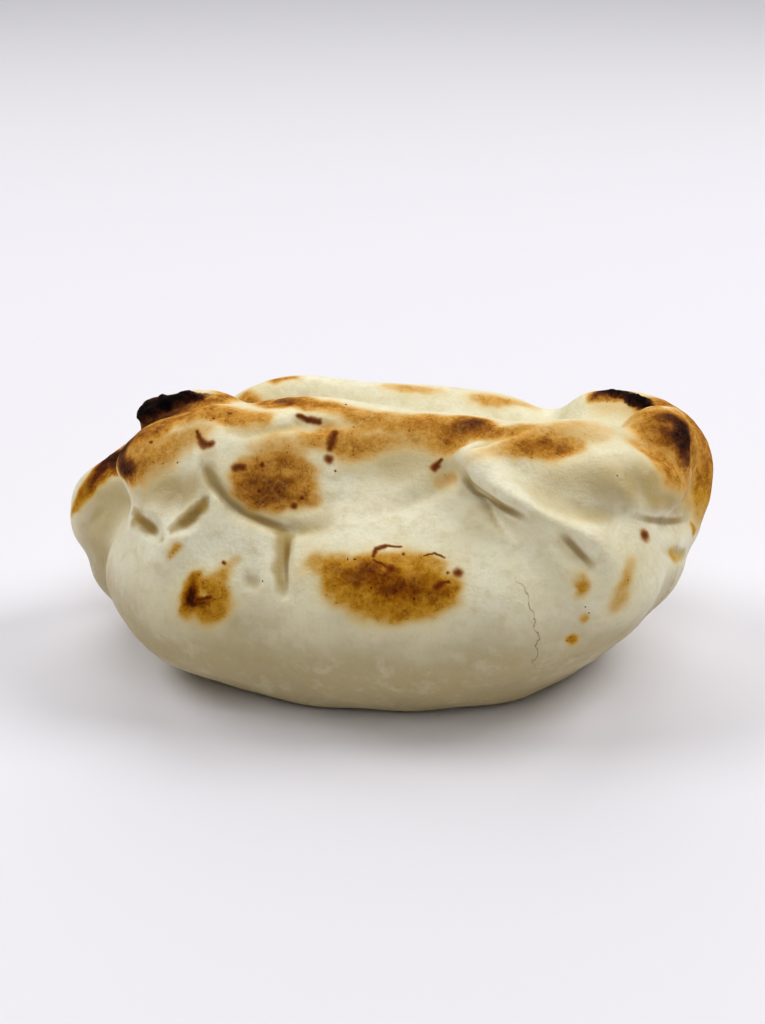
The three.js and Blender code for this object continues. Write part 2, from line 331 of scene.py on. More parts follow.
# Creases, as rows of [u, v, half width in mm, depth in mm] along what the photo shows.
CREASES = {
    "belly_split": [[288, 524, 2.2, 2.6], [283, 540, 2.2, 4], [281, 562, 2.4, 3.4], [283, 596, 2.6, 0]],
    "bulge_foot": [[206, 466, 1.6, 0.8], [218, 484, 1.7, 2.4], [238, 503, 1.7, 2.6], [262, 516, 1.7, 2.6],
        [288, 525, 2.2, 2.4], [330, 522, 4, 0.3]],
    "left_pocket": [[131, 506, 0.8, 0.6], [139, 514, 1.9, 3], [148, 522, 2.3, 4.6], [155, 529, 1.7, 3.2],
        [160, 535, 0.8, 0.6]],
    "middle_pocket": [[170, 526, 0.8, 1], [180, 522, 2, 3.8], [190, 516, 2.3, 4.6], [199, 506, 1.6, 2.4],
        [206, 494, 0.8, 0.5]],
    "right_second": [[545, 515, 4.5, 0.3], [575, 545, 4, 2.4], [595, 568, 4, 0.4]],
    "right_roll_foot": [[457, 466, 1.4, 1], [472, 486, 1.4, 2], [494, 501, 1.4, 1.8],
        [524, 513, 1.8, 0.3]],
    "right_roll_top": [[490, 458, 6, 0], [522, 472, 8, 2], [562, 494, 9, 3.6], [606, 516, 8, 0.8]],
    "right_roll_crest": [[470, 466, 4, -0.3], [500, 486, 5, -0.9], [540, 508, 5, -1.3], [585, 534, 5, -1],
        [616, 562, 4, -0.2]],
    "right_wrinkle": [[558, 490, 2.4, 0.2], [585, 502, 3, 1.4], [606, 502, 2.6, 0.3]],
    "right_ridge": [[585, 445, 4, -0.3], [612, 478, 5, -1.4], [640, 512, 4, -0.4]],
    "knob_hollow": [[622, 462, 6, 0.5], [645, 490, 7, 2.2], [680, 500, 6, 1.4]],
    "tip_top": [[462, 447, 1.8, 0.2], [484, 438, 2, 1], [505, 430, 2.2, 1.4], [530, 423, 2, 0.4]],
    "knob_foot": [[620, 505, 2.6, 0.4], [650, 516, 3, 2.6], [672, 518, 3, 2.4], [692, 515, 2.6, 0.6]],
    "knob_lower": [[660, 545, 2, 0.3], [675, 551, 2, 1.2], [690, 551, 2, 0.4]],
    "tip_pocket": [[434, 484, 4, 0.5], [446, 474, 4, 2.2], [456, 466, 3, 1.4]],
    "tip_left": [[385, 508, 3.5, 0.2], [412, 495, 3.5, 1.2], [440, 480, 3, 1.2]],
    "knob_back": [[688, 436, 1.8, 0.3], [692, 457, 2, 1.4], [690, 490, 2, 0.4]],
    "crest_slit": [[299, 417, 2, 2.4], [310, 421, 2.4, 3.6], [322, 422, 2, 2]],
    "crest_seam": [[217, 409, 2, 0.4], [235, 428, 2.2, 0.6], [270, 426, 2.2, 0.7], [300, 422, 2.2, 0.8],
        [345, 421, 2.2, 0.7], [390, 420, 2.2, 0.2]],
    "left_end_face": [[84, 528, 6, 0.8], [102, 505, 6, 2.2], [122, 490, 6, 2.2]],
    "dimple": [[250, 577, 2, 1], [254, 578, 2, 1]],
}

# Gathers of the rear wall below the rim, as rows of [x, y, z, half width, depth]. The photo
# doesn't show them.
GATHERS = [
    [[-33, 24, 35, 6, 0.3], [-36, 30, 25, 9, 1.8], [-35, 33, 14, 8, 0.3]],
    [[-8, 30, 36, 6, 0.4], [-6, 37, 26, 9, 1.8], [-9, 39, 14, 8, 0.3]],
    [[24, 27, 34, 6, 0.4], [28, 33, 24, 9, 1.8], [26, 36, 13, 8, 0.3]],
]

creases = [groove(placed(rows, pouch)) for rows in CREASES.values()]
creases += [groove(rows) for rows in GATHERS]


def dough(p):
    value = pouch(p) + unevenness(p)
    for crease in creases:
        value = value + crease(p)
    return -melt(-value, p[:, 2], BASE_ROUND)


# --- Mesh ---

# Side of a cell of the fine grid, and cells along the side of a block of the rough one.
CELL = 0.62
COARSE = 4
# Blocks that are sampled finely have a corner within this many sides of the surface.
BAND = 1.3
GRID_LOW = np.array([-70.0, -46.0, -3.0])
GRID_HIGH = np.array([70.0, 46.0, 60.0])
OUTSIDE = 1000.0
CHUNK = 60000
SLOPE_REACH = 0.15
LONGEST_MOVE = 0.6 * CELL
RING = ((-1, -1), (0, -1), (0, 0), (-1, 0))
CORNERS = ((0, 0, 0), (1, 0, 0), (0, 1, 0), (1, 1, 0), (0, 0, 1), (1, 0, 1), (0, 1, 1), (1, 1, 1))


def evaluate(field, points):
    parts = np.array_split(points, max(1, len(points) // CHUNK))
    return np.concatenate([field(part) for part in parts])


def sample_band(field):
    """The field on the fine grid, exact near the surface and only signed away from it."""
    block = CELL * COARSE
    count = np.ceil((GRID_HIGH - GRID_LOW) / block).astype(int)
    corners = np.stack(np.meshgrid(*[GRID_LOW[i] + block * np.arange(count[i] + 1)
                                     for i in range(3)], indexing="ij"), axis=-1)
    rough = evaluate(field, corners.reshape(-1, 3)).reshape(count + 1)
    around = np.stack([rough[i:count[0] + i, j:count[1] + j, k:count[2] + k]
                       for i, j, k in CORNERS])
    crossed = (around < 0).any(axis=0) & (around >= 0).any(axis=0)
    band = crossed | (np.abs(around).min(axis=0) < BAND * block)
    sign = np.where(around.mean(axis=0) < 0, -OUTSIDE, OUTSIDE)

    def refine(blocks):
        for axis in range(3):
            blocks = np.repeat(blocks, COARSE, axis=axis)
        return blocks

    fine_count = count * COARSE
    values = np.full(fine_count + 1, OUTSIDE, np.float32)
    values[:-1, :-1, :-1] = refine(sign)
    wanted = np.zeros(fine_count + 1, bool)
    fine_band = refine(band)
    for i, j, k in CORNERS:
        wanted[i:fine_count[0] + i, j:fine_count[1] + j, k:fine_count[2] + k] |= fine_band
    values[wanted] = evaluate(field, GRID_LOW + np.argwhere(wanted) * CELL)
    return values


def net_surface(values):
    """One vertex in each cell that the surface crosses, one quad round each crossed edge."""
    def moved(place, second, third, step_2, step_3):
        cell = place.copy()
        cell[:, second] += step_2
        cell[:, third] += step_3
        return tuple(cell.T)

    cells = np.array(values.shape) - 1
    total = np.zeros((*cells, 3), np.float32)
    number = np.zeros(cells, np.int32)
    crossings = []
    for axis in range(3):
        turned = np.moveaxis(values, axis, 0)
        here, there = [np.moveaxis(part, 0, axis) for part in (turned[:-1], turned[1:])]
        crossed = (here < 0) != (there < 0)
        place = np.argwhere(crossed)
        share = here[crossed] / (here[crossed] - there[crossed])
        point = place.astype(np.float32)
        point[:, axis] += share
        second, third = (axis + 1) % 3, (axis + 2) % 3
        crossings.append((second, third, place, here[crossed] < 0))
        for steps in RING:
            cell = moved(place, second, third, *steps)
            np.add.at(total, cell, point)
            np.add.at(number, cell, 1)
    used = np.argwhere(number > 0)
    index = np.full(cells, -1, np.int64)
    index[tuple(used.T)] = np.arange(len(used))
    points = total[tuple(used.T)] / number[tuple(used.T)][:, None] * CELL + GRID_LOW
    quads = []
    for second, third, place, outward in crossings:
        ring = np.stack([index[moved(place, second, third, *steps)] for steps in RING], axis=1)
        quads.append(np.where(outward[:, None], ring, ring[:, ::-1]))
    return points, np.vstack(quads)


def slope(field, points):
    """The field's slope at each point: it points out of the dough."""
    result = np.zeros_like(points)
    for axis in range(3):
        offset = np.zeros(3)
        offset[axis] = SLOPE_REACH
        result[:, axis] = (evaluate(field, points + offset)
                           - evaluate(field, points - offset)) / (2 * SLOPE_REACH)
    return result


def settle(points, field):
    """Moves points along the field's slope onto the surface."""
    steep = slope(field, points)
    move = -evaluate(field, points)[:, None] * steep / ((steep ** 2).sum(axis=1)[:, None] + 1e-6)
    return points + move * np.minimum(1, LONGEST_MOVE / (lengths(move) + TINY))[:, None]


def fit_to_node(points):
    """Brings the mesh to the CAD node's box."""
    low, high = [np.array(corner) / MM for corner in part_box(NODE)]
    own_low, own_high = points.min(axis=0), points.max(axis=0)
    return low + (points - own_low) * (high - low) / (own_high - own_low)


# --- Noise ---

def noise(points, size, seed):
    """Smooth value noise from -1 to 1, from a hash of each cell of `size` mm."""
    scaled = points / size + 100.0 + 17.3 * seed
    cell = np.floor(scaled).astype(np.int64)
    t = scaled - cell
    t = t * t * (3 - 2 * t)
    result = np.zeros(len(points))
    for side in CORNERS:
        corner = cell + side
        mixed = corner[:, 0] * 73856093 ^ corner[:, 1] * 19349663 ^ corner[:, 2] * 83492791
        mixed = (mixed ^ seed * 2654435761) & 0xFFFFFFFF
        mixed = ((mixed ^ (mixed >> 15)) * 2246822519) & 0xFFFFFFFF
        mixed = ((mixed ^ (mixed >> 13)) * 3266489917) & 0xFFFFFFFF
        value = (mixed ^ (mixed >> 16)) / 0xFFFFFFFF * 2 - 1
        weight = np.prod(np.where(np.array(side) == 1, t, 1 - t), axis=1)
        result += weight * value
    return result


# --- Marks ---

# Toasted patches, as lines of [u, v, radius in mm, strength] in the photo.
TOAST = {
    "bulge": [[244, 478, 3.4, 0.56], [262, 486, 3.8, 0.64], [285, 488, 3.8, 0.6], [304, 486, 3.2, 0.5]],
    "bulge_mid": [[246, 464, 2.8, 0.42], [268, 462, 3.4, 0.46], [292, 464, 3.4, 0.44],
        [308, 470, 2.6, 0.36]],
    "bulge_top": [[258, 446, 3.2, 0.26], [280, 442, 3.4, 0.3], [300, 448, 3, 0.28]],
    "ear_tip": [[121, 458, 3, 0.75], [128, 466, 3.2, 0.82], [132, 474, 2.4, 0.5]],
    "ear_rim": [[124, 444, 4, 0.68], [148, 428, 4, 0.6], [174, 415, 3.8, 0.54], [202, 406, 3.6, 0.5],
        [236, 410, 3.4, 0.46], [262, 414, 2.8, 0.38]],
    "ear_under": [[140, 462, 3.8, 0.44], [156, 450, 4.2, 0.4], [176, 438, 4.2, 0.36],
        [196, 428, 3.6, 0.32]],
    "ear_edge": [[125, 474, 1.6, 0.45], [129, 484, 1.4, 0.3], [134, 494, 1.2, 0.18]],
    "inner_roll": [[144, 424, 3.8, 0.85], [164, 414, 3.6, 0.8], [194, 403, 3.2, 0.64],
        [222, 395, 3.2, 0.5], [246, 398, 3.2, 0.42], [268, 401, 3, 0.5], [290, 397, 3, 0.7],
        [312, 401, 3, 0.5], [345, 407, 2.8, 0.4], [380, 413, 2.6, 0.36]],
    "crest": [[300, 434, 2.6, 0.32], [326, 432, 3, 0.42], [345, 430, 3, 0.34], [368, 423, 3, 0.34],
        [395, 419, 3.2, 0.38], [420, 420, 3.2, 0.46], [448, 423, 3.2, 0.64], [476, 424, 3.2, 0.72],
        [498, 428, 2.8, 0.52], [520, 428, 2.2, 0.3]],
    "crest_front": [[340, 444, 2.8, 0.42], [362, 440, 3, 0.4], [400, 434, 3, 0.32], [436, 438, 3, 0.36],
        [462, 438, 2.4, 0.38]],
    "right_flap": [[506, 440, 2.4, 0.36], [530, 441, 3, 0.54], [552, 446, 3.2, 0.58],
        [572, 445, 2.8, 0.42]],
    "right_flap_tip": [[474, 454, 2, 0.18], [492, 447, 2.6, 0.26], [508, 442, 2.8, 0.32]],
    "right_flap_top": [[518, 434, 2.4, 0.36], [545, 430, 2.4, 0.34], [575, 431, 2.6, 0.28],
        [600, 434, 2.6, 0.22]],
    "right_flap_edge": [[520, 428, 2.2, 0.34], [550, 423, 2.6, 0.3], [585, 422, 2.6, 0.26],
        [606, 426, 2.4, 0.22]],
    "knob": [[632, 420, 3.6, 0.32], [648, 426, 4.2, 0.46], [664, 430, 4.2, 0.66], [678, 434, 3.8, 0.9],
        [684, 452, 3.6, 0.7]],
    "knob_top": [[634, 412, 3, 0.34], [650, 410, 3.2, 0.46], [664, 412, 3, 0.66], [677, 419, 2.8, 0.9],
        [684, 432, 2.8, 0.95]],
    "knob_low": [[632, 440, 3, 0.34], [650, 452, 3.6, 0.44], [668, 464, 4.2, 0.46], [684, 480, 3.8, 0.36],
        [690, 496, 3, 0.22]],
    "band": [[654, 399, 3, 0.46], [668, 400, 3, 0.5], [684, 408, 3, 0.5], [697, 419, 2.8, 0.56],
        [706, 440, 2.8, 0.58], [709, 462, 2.8, 0.5], [708, 487, 2.8, 0.42], [702, 510, 2.4, 0.32],
        [696, 528, 2, 0.2]],
    "band_inner": [[676, 403, 3.2, 0.46], [689, 413, 3.6, 0.5], [697, 430, 3.8, 0.5],
        [699, 452, 3.8, 0.5], [700, 476, 3.6, 0.46], [699, 500, 3.2, 0.36], [695, 525, 2.6, 0.2]],
    "knob_edge": [[680, 412, 3, 0.4], [688, 424, 3, 0.46], [693, 440, 3, 0.46], [694, 458, 3, 0.42],
        [692, 480, 3, 0.35], [690, 500, 2.6, 0.22]],
    "rear_right": [[594, 391, 2.4, 0.62], [616, 392, 2.8, 0.6], [640, 400, 2.6, 0.5],
        [654, 403, 2.2, 0.36]],
    "rear_right_halo": [[600, 402, 3, 0.2], [630, 408, 3, 0.2]],
    "left_end": [[124, 446, 3.2, 0.9], [111, 454, 3.4, 0.98], [101, 467, 3, 0.92], [89, 484, 2.3, 0.68],
        [78, 500, 1.9, 0.54], [71, 513, 1.5, 0.34]],
    "left_spot": [[196, 572, 1.6, 0.46], [190, 586, 1.9, 0.84], [188, 600, 2.2, 0.95],
        [197, 602, 2, 0.86], [206, 599, 1.2, 0.7]],
    "left_spot_gold": [[198, 580, 2.2, 0.4], [212, 588, 2.8, 0.4], [220, 598, 2.8, 0.42],
        [208, 606, 3, 0.46], [194, 608, 2.6, 0.5]],
    "left_spot_lobe": [[218, 580, 2.4, 0.34], [228, 566, 1.8, 0.32], [236, 554, 1.2, 0.26]],
    "centre": [[338, 574, 3.2, 0.5], [360, 572, 3.6, 0.68], [390, 578, 4, 0.72], [420, 580, 3.6, 0.66],
        [444, 580, 2.8, 0.5]],
    "centre_low": [[336, 588, 3, 0.36], [362, 595, 3.6, 0.48], [395, 598, 3.6, 0.52],
        [426, 594, 3.6, 0.5], [448, 590, 2.6, 0.34]],
    "centre_left": [[311, 559, 2.8, 0.3], [334, 564, 3.2, 0.45]],
    "centre_top": [[350, 561, 2, 0.36], [380, 556, 2, 0.36], [410, 556, 2, 0.4], [436, 562, 2, 0.36]],
    "rear_lip": [[386, 383, 2, 0.26], [414, 386, 2.2, 0.34], [440, 390, 2, 0.24]],
    "rear_lip_right": [[470, 394, 2.2, 0.28], [490, 397, 2.4, 0.38], [515, 401, 2.2, 0.32],
        [532, 404, 1.8, 0.22]],
    "rear_lip_left": [[274, 378, 1.8, 0.5], [290, 375, 1.6, 0.4], [300, 376, 1.4, 0.2]],
    "yellow_drop": [[576, 572, 1.4, 0.36], [579, 586, 1.4, 0.42], [574, 590, 1.1, 0.36]],
    "yellow_streak": [[628, 558, 1.7, 0.24], [624, 582, 2.1, 0.32], [616, 604, 1.9, 0.26]],
    "yellow_low": [[570, 633, 1.2, 0.44], [571, 636, 1.1, 0.4]],
    "yellow_point": [[578, 612, 0.9, 0.34], [579, 614, 0.9, 0.34]],
    "yellow_side": [[668, 551, 1.4, 0.32], [680, 553, 1.1, 0.3]],
    "yellow_edge": [[689, 523, 1.3, 0.4], [691, 525, 1.3, 0.4]],
    "yellow_left": [[174, 541, 1.1, 0.4], [170, 549, 0.9, 0.36]],
    "yellow_tip": [[440, 479, 1.9, 0.26], [452, 475, 1.9, 0.28]],
}
CHAR = {
    "inner_roll_end": [[142, 408, 2.6, 1], [150, 402, 2.6, 1], [166, 401, 2, 1], [180, 399, 1.6, 0.95],
        [198, 395, 1.2, 0.7], [212, 391, 0.9, 0.4]],
    "inner_roll_face": [[146, 418, 2, 0.7], [158, 412, 1.6, 0.55]],
    "rear_right": [[592, 391, 1.2, 0.5], [606, 389, 1.7, 0.75], [622, 391, 1.8, 0.95],
        [636, 397, 1.8, 0.95], [646, 403, 1.2, 0.8]],
    "left_end": [[110, 448, 1.4, 0.5], [102, 458, 1.2, 0.45]],
}

# Painted shade: olive and tan tints of the pale dough, where it lies in the lee of a fold, as
# lines of [u, v, radius in mm, strength].
SHADE = {
    "ear_face": [[140, 488, 3.6, 0.5], [168, 488, 4.5, 0.7], [192, 484, 3.6, 0.6]],
    "ear_right": [[207, 452, 2.2, 0.45], [208, 470, 2.2, 0.45]],
    "pocket_left": [[138, 515, 1.5, 1], [148, 521, 1.8, 1], [156, 526, 1.4, 1]],
    "pocket_middle": [[176, 521, 1.4, 1], [188, 515, 1.9, 1], [202, 504, 1.3, 1]],
    "bulge_under": [[296, 524, 2, 0.4], [325, 516, 3.4, 0.45]],
    "crest_front": [[350, 462, 3.6, 0.35], [392, 456, 5, 0.6], [428, 458, 4, 0.5]],
    "belly_split": [[282, 534, 1.6, 0.9], [280, 560, 1.6, 0.85], [283, 592, 1.3, 0.4]],
    "right_face": [[520, 462, 3.4, 0.25], [560, 474, 4.6, 0.45], [592, 474, 5, 0.6], [622, 478, 5, 0.7]],
    "right_hollow": [[530, 486, 3.6, 0.4], [575, 508, 3, 0.5], [600, 512, 2.6, 0.6]],
    "knob_low": [[642, 468, 4, 0.7], [664, 484, 4.5, 0.9], [684, 496, 4, 0.9]],
    "second_fold": [[560, 536, 2, 0.4], [582, 560, 2, 0.4]],
    "left_lobe": [[112, 500, 6, 0.6], [96, 545, 5, 0.5], [108, 575, 3.6, 0.5]],
    "left_low": [[128, 628, 4, 0.4], [170, 650, 4, 0.3]],
}

# Small dark marks, as lines of [u, v, radius in mm].
STROKES = {
    "crescent": [[197, 431, 0.3], [198.5, 436, 0.5], [201, 441, 0.75], [205, 445, 0.95], [211, 444, 0.5]],
    "bulge_left": [[235, 468, 0.6], [239, 467, 0.85], [243, 467, 0.6]],
    "crest_blot": [[335, 433, 0.6], [333, 438, 1], [331, 444, 0.95], [330, 448, 0.5]],
    "slit_left": [[299, 416, 0.35], [308, 420, 0.7], [319, 422, 0.45]],
    "centre_loop": [[374, 556, 0.35], [376, 549, 0.5], [386, 546, 0.32], [401, 547, 0.2]],
    "centre_branch": [[374, 560, 0.22], [390, 568, 0.35]],
    "centre_hair": [[424, 556, 0.16], [434, 553, 0.2], [444, 558, 0.22]],
    "centre_drop": [[437, 587, 0.95], [441, 584, 0.5], [449, 582, 0.25]],
    "left_bar": [[196, 600, 0.35], [203, 599, 0.5], [210, 597, 0.25]],
    "tip_drop": [[434, 468, 0.8], [437, 465, 0.5], [441, 460, 0.25]],
}
# Round ones, as [u, v, radius in mm].
DOTS = [
    [151, 442, 0.5], [214, 418, 0.45], [230, 413, 0.5], [262, 465, 0.55], [259, 491, 0.4],
    [279, 492, 0.4], [294, 506, 0.7], [302, 498, 0.45], [329, 459, 0.85], [335, 471, 0.22],
    [391, 569, 0.95], [404, 554, 0.35], [458, 573, 0.85], [448, 573, 0.3], [224, 563, 0.3],
    [645, 535, 1], [290, 401, 1.1],
]
# Tiny dark specks, as [u, v, radius in mm].
SPECKS = [
    [177, 463, 0.22], [263, 581, 0.25], [589, 613, 0.22], [346, 404, 0.3], [354, 427, 0.25],
    [430, 412, 0.45], [348, 559, 0.22], [355, 559, 0.25], [414, 599, 0.22], [371, 588, 0.2],
    [616, 455, 0.22], [617, 476, 0.2], [585, 607, 0.2], [118, 640, 0.22], [510, 400, 0.2],
]
# The hairline crack down the front of the belly, as [u, v, radius in mm].
CRACK = [[508, 560, 1], [514, 575, 1], [522, 588, 1], [530, 602, 1], [533, 620, 1],
         [535, 640, 1], [532, 655, 1], [534, 668, 1], [545, 684, 1]]

# Painted shade: thin olive lines at the bottom of crisp folds, as lines of [u, v, radius in mm].
FOLD_LINES = {
    "bulge_foot": [[207, 464, 0.5], [216, 481, 0.5], [230, 497, 0.6], [250, 511, 0.6], [270, 520, 0.6],
        [290, 526, 0.6], [312, 524, 0.5]],
    "split_right": [[287, 528, 0.4], [287, 545, 0.5], [286, 565, 0.4], [287, 592, 0.2]],
    "pocket_left": [[132, 507, 0.2], [140, 515, 0.6], [148, 521, 0.9], [155, 528, 0.6], [160, 534, 0.2]],
    "pocket_middle": [[172, 525, 0.3], [181, 521, 0.8], [190, 515, 0.9], [199, 505, 0.5],
        [205, 496, 0.2]],
    "roll_foot": [[456, 464, 0.5], [464, 477, 0.5], [478, 491, 0.5], [496, 502, 0.5], [516, 511, 0.5],
        [532, 518, 0.4]],
    "second_fold": [[556, 526, 0.5], [574, 545, 0.5], [594, 566, 0.4]],
    "knob_foot": [[624, 509, 0.5], [648, 516, 0.5], [670, 518, 0.5], [694, 514, 0.4]],
}


# Radii from its line within which a mark is at its full strength, and where it ends.
MARK_FULL = 0.15
MARK_END = 1.7
# How much each mark counts where marks overlap, and how much that deepens them.
OVERLAP = 0.3
DEEPENING = 0.25
# Distance within which points are measured from a fold or a thin line, and the value beyond.
LINE_REACH = 3.0
FAR_OFF = 9.0
# Creases shallower than this count as further away.
CRISP_DEPTH = 2.0
# Share of a thin line's length over which it fades at each end, and where it fades sideways.
FADE = 0.35
FADE_START = 0.8
FADE_END = 1.6


def line_level(points, rows, spread):
    """How strongly a mark along [u, v, radius, strength] rows shows at each point, 0 to 1."""
    path = smooth_path(placed(rows, dough))
    path[:, 3] *= spread
    level = np.zeros(len(points))
    close = from_box(points, path, MARK_END * path[:, 3].max()) <= 0
    distance, at = along_path(points[close], path)
    level[close] = at[:, 1] * (1 - smoothstep(distance / at[:, 0], MARK_FULL, MARK_END))
    return level


def mark_level(points, marks, spread=1.0):
    """Patches seen together: where two overlap, the stronger shows, a little deepened."""
    strongest = np.zeros(len(points))
    clear = np.ones(len(points))
    for rows in marks.values():
        level = line_level(points, rows, spread)
        strongest = np.maximum(strongest, level)
        clear *= 1 - OVERLAP * level
    return np.clip(strongest + DEEPENING * (1 - clear), 0, 1)


def crease_distance(points):
    """Distance in mm to the nearest crease, more beside a shallow one."""
    nearest = np.full(len(points), FAR_OFF)
    for rows in CREASES.values():
        path = smooth_path(placed(rows, pouch))
        close = from_box(points, path, LINE_REACH) <= 0
        distance, at = along_path(points[close], path)
        beside = distance + np.maximum(0, CRISP_DEPTH - at[:, 1])
        nearest[close] = np.minimum(nearest[close], beside)
    return nearest


def across(points, outward, lines):
    """Signed distance across the nearest of several lines of [u, v, radius in mm], in radii,
    and how far it still shows."""
    best = np.full(len(points), np.inf)
    signed = np.full(len(points), FAR_OFF)
    fade = np.zeros(len(points))
    for rows in lines:
        path = smooth_path(placed(rows, dough))
        close = np.where(from_box(points, path, LINE_REACH) <= 0)[0]
        for step, (start, end, t, offset) in enumerate(stretches(points[close], path)):
            run = end[:3] - start[:3]
            side = np.cross(outward[close], run / np.linalg.norm(run))
            radius = start[3] + t * (end[3] - start[3])
            lateral = np.einsum("ij,ij->i", offset, side) / radius
            distance = lengths(offset)
            closer = distance < best[close]
            best[close[closer]] = distance[closer]
            signed[close[closer]] = lateral[closer]
            share = (step + t[closer]) / (len(path) - 1)
            fade[close[closer]] = smoothstep(np.minimum(share, 1 - share), 0, FADE)
    return signed, fade * (1 - smoothstep(best, FADE_START, FADE_END))


# --- Crust ---

# Noise that lifts the crust or moves the edges of its marks, as (height, size, seed).
LUMPS = ((0.16, 7.0, 1), (0.08, 3.2, 2), (0.03, 1.5, 3))
BLISTERS = ((0.10, 2.0, 4),)
CRAGS = ((0.8, 3.0, 5), (1.0, 1.4, 6))
CRAG_LIFT = 0.5
EDGE_SHIFTS = ((1.0, 4.5, 11), (0.45, 1.7, 21))
HOLLOW_REACH = 1.6
# Heights above the floor between which the relief grows.
RELIEF_FROM = 0.2
RELIEF_TO = 3.0
# How much wider than the toast the warm tint round it spreads.
WARM_SPREAD = 1.7


def noises(points, layers, shift=0):
    return sum(height * noise(points, size, seed + shift) for height, size, seed in layers)


def fine_relief(points, toast, char):
    """Lumps of the dough, dry blisters where it is toasted, and crags where it is charred."""
    blisters = smoothstep(toast, 0.2, 0.8) * noises(points, BLISTERS)
    crags = smoothstep(char, 0.4, 0.9) * (CRAG_LIFT + noises(points, CRAGS))
    return noises(points, LUMPS) + blisters + crags


def hollowness(points, outward, steep):
    """How deep in a fold each point lies, 0 on open dough and 1 in the bottom of a crease."""
    open_value = HOLLOW_REACH * lengths(steep)
    return np.clip(1 - evaluate(dough, points + HOLLOW_REACH * outward) / open_value, 0, 1)


def shifted(points):
    """Points moved by noise, so that marks looked up there get uneven edges."""
    return points + np.stack([noises(points, EDGE_SHIFTS, axis) for axis in range(3)], axis=1)


def add_object(name, data):
    thing = bpy.data.objects.new(name, data)
    bpy.context.scene.collection.objects.link(thing)
    return thing


def build_crust():
    """The crust's object, and its vertices in mm."""
    points, quads = net_surface(sample_band(dough))
    for _ in range(2):
        points = settle(points, dough)
    steep = slope(dough, points)
    outward = steep / (lengths(steep)[:, None] + TINY)
    uneven = shifted(points)
    toast = mark_level(uneven, TOAST)
    char = mark_level(uneven, CHAR)
    crack, crack_shown = across(points, outward, [CRACK])
    fold_line, fold_shown = across(points, outward, FOLD_LINES.values())
    fields = {
        "toast": toast, "char": char, "shade": mark_level(uneven, SHADE),
        "warm": mark_level(uneven, TOAST, WARM_SPREAD), "fold": crease_distance(points),
        "hollow": hollowness(points, outward, steep), "crack": crack,
        "crack_shown": crack_shown, "fold_line": fold_line, "fold_shown": fold_shown,
    }
    lift = fine_relief(points, toast, char) * smoothstep(points[:, 2], RELIEF_FROM, RELIEF_TO)
    points = points + outward * lift[:, None]
    points[:, 2] = np.maximum(points[:, 2], 0)
    points = fit_to_node(points)
    mesh = bpy.data.meshes.new("crust")
    mesh.from_pydata((points * MM).tolist(), [], quads.tolist())
    for name, values in fields.items():
        layer = mesh.attributes.new(name, "FLOAT", "POINT")
        layer.data.foreach_set("value", values.astype(np.float32))
    mesh.shade_smooth()
    mesh.validate()
    return add_object("crust", mesh), points


# The vertices that tell where a line of sight lands lie this near to it, and this little behind
# the first of them; nearer ones weigh more.
SIGHT_REACH = 1.2
SIGHT_DEPTH = 2.0
SIGHT_FLOOR = 0.05


def land(rows, points):
    """Places on the finished surface under pixels of the photo, for rows of [u, v, ...]."""
    places = []
    offset = points - EYE
    for row in rows:
        direction = sight(row[:2])
        along = offset @ direction
        away = lengths(offset - along[:, None] * direction)
        near = np.where(away < SIGHT_REACH)[0]
        if not len(near):
            near = np.array([away.argmin()])
        front = near[along[near] < along[near].min() + SIGHT_DEPTH]
        weight = 1 / (SIGHT_FLOOR + away[front]) ** 2
        places.append(EYE + direction * (along[front] * weight).sum() / weight.sum())
    return places


# --- Materials ---

def linear(red, green, blue):
    """An sRGB colour from 0 to 255 as the linear RGBA that a shader takes."""
    def channel(value):
        value = value / 255
        return value / 12.92 if value <= 0.04045 else ((value + 0.055) / 1.055) ** 2.4
    return (channel(red), channel(green), channel(blue), 1.0)


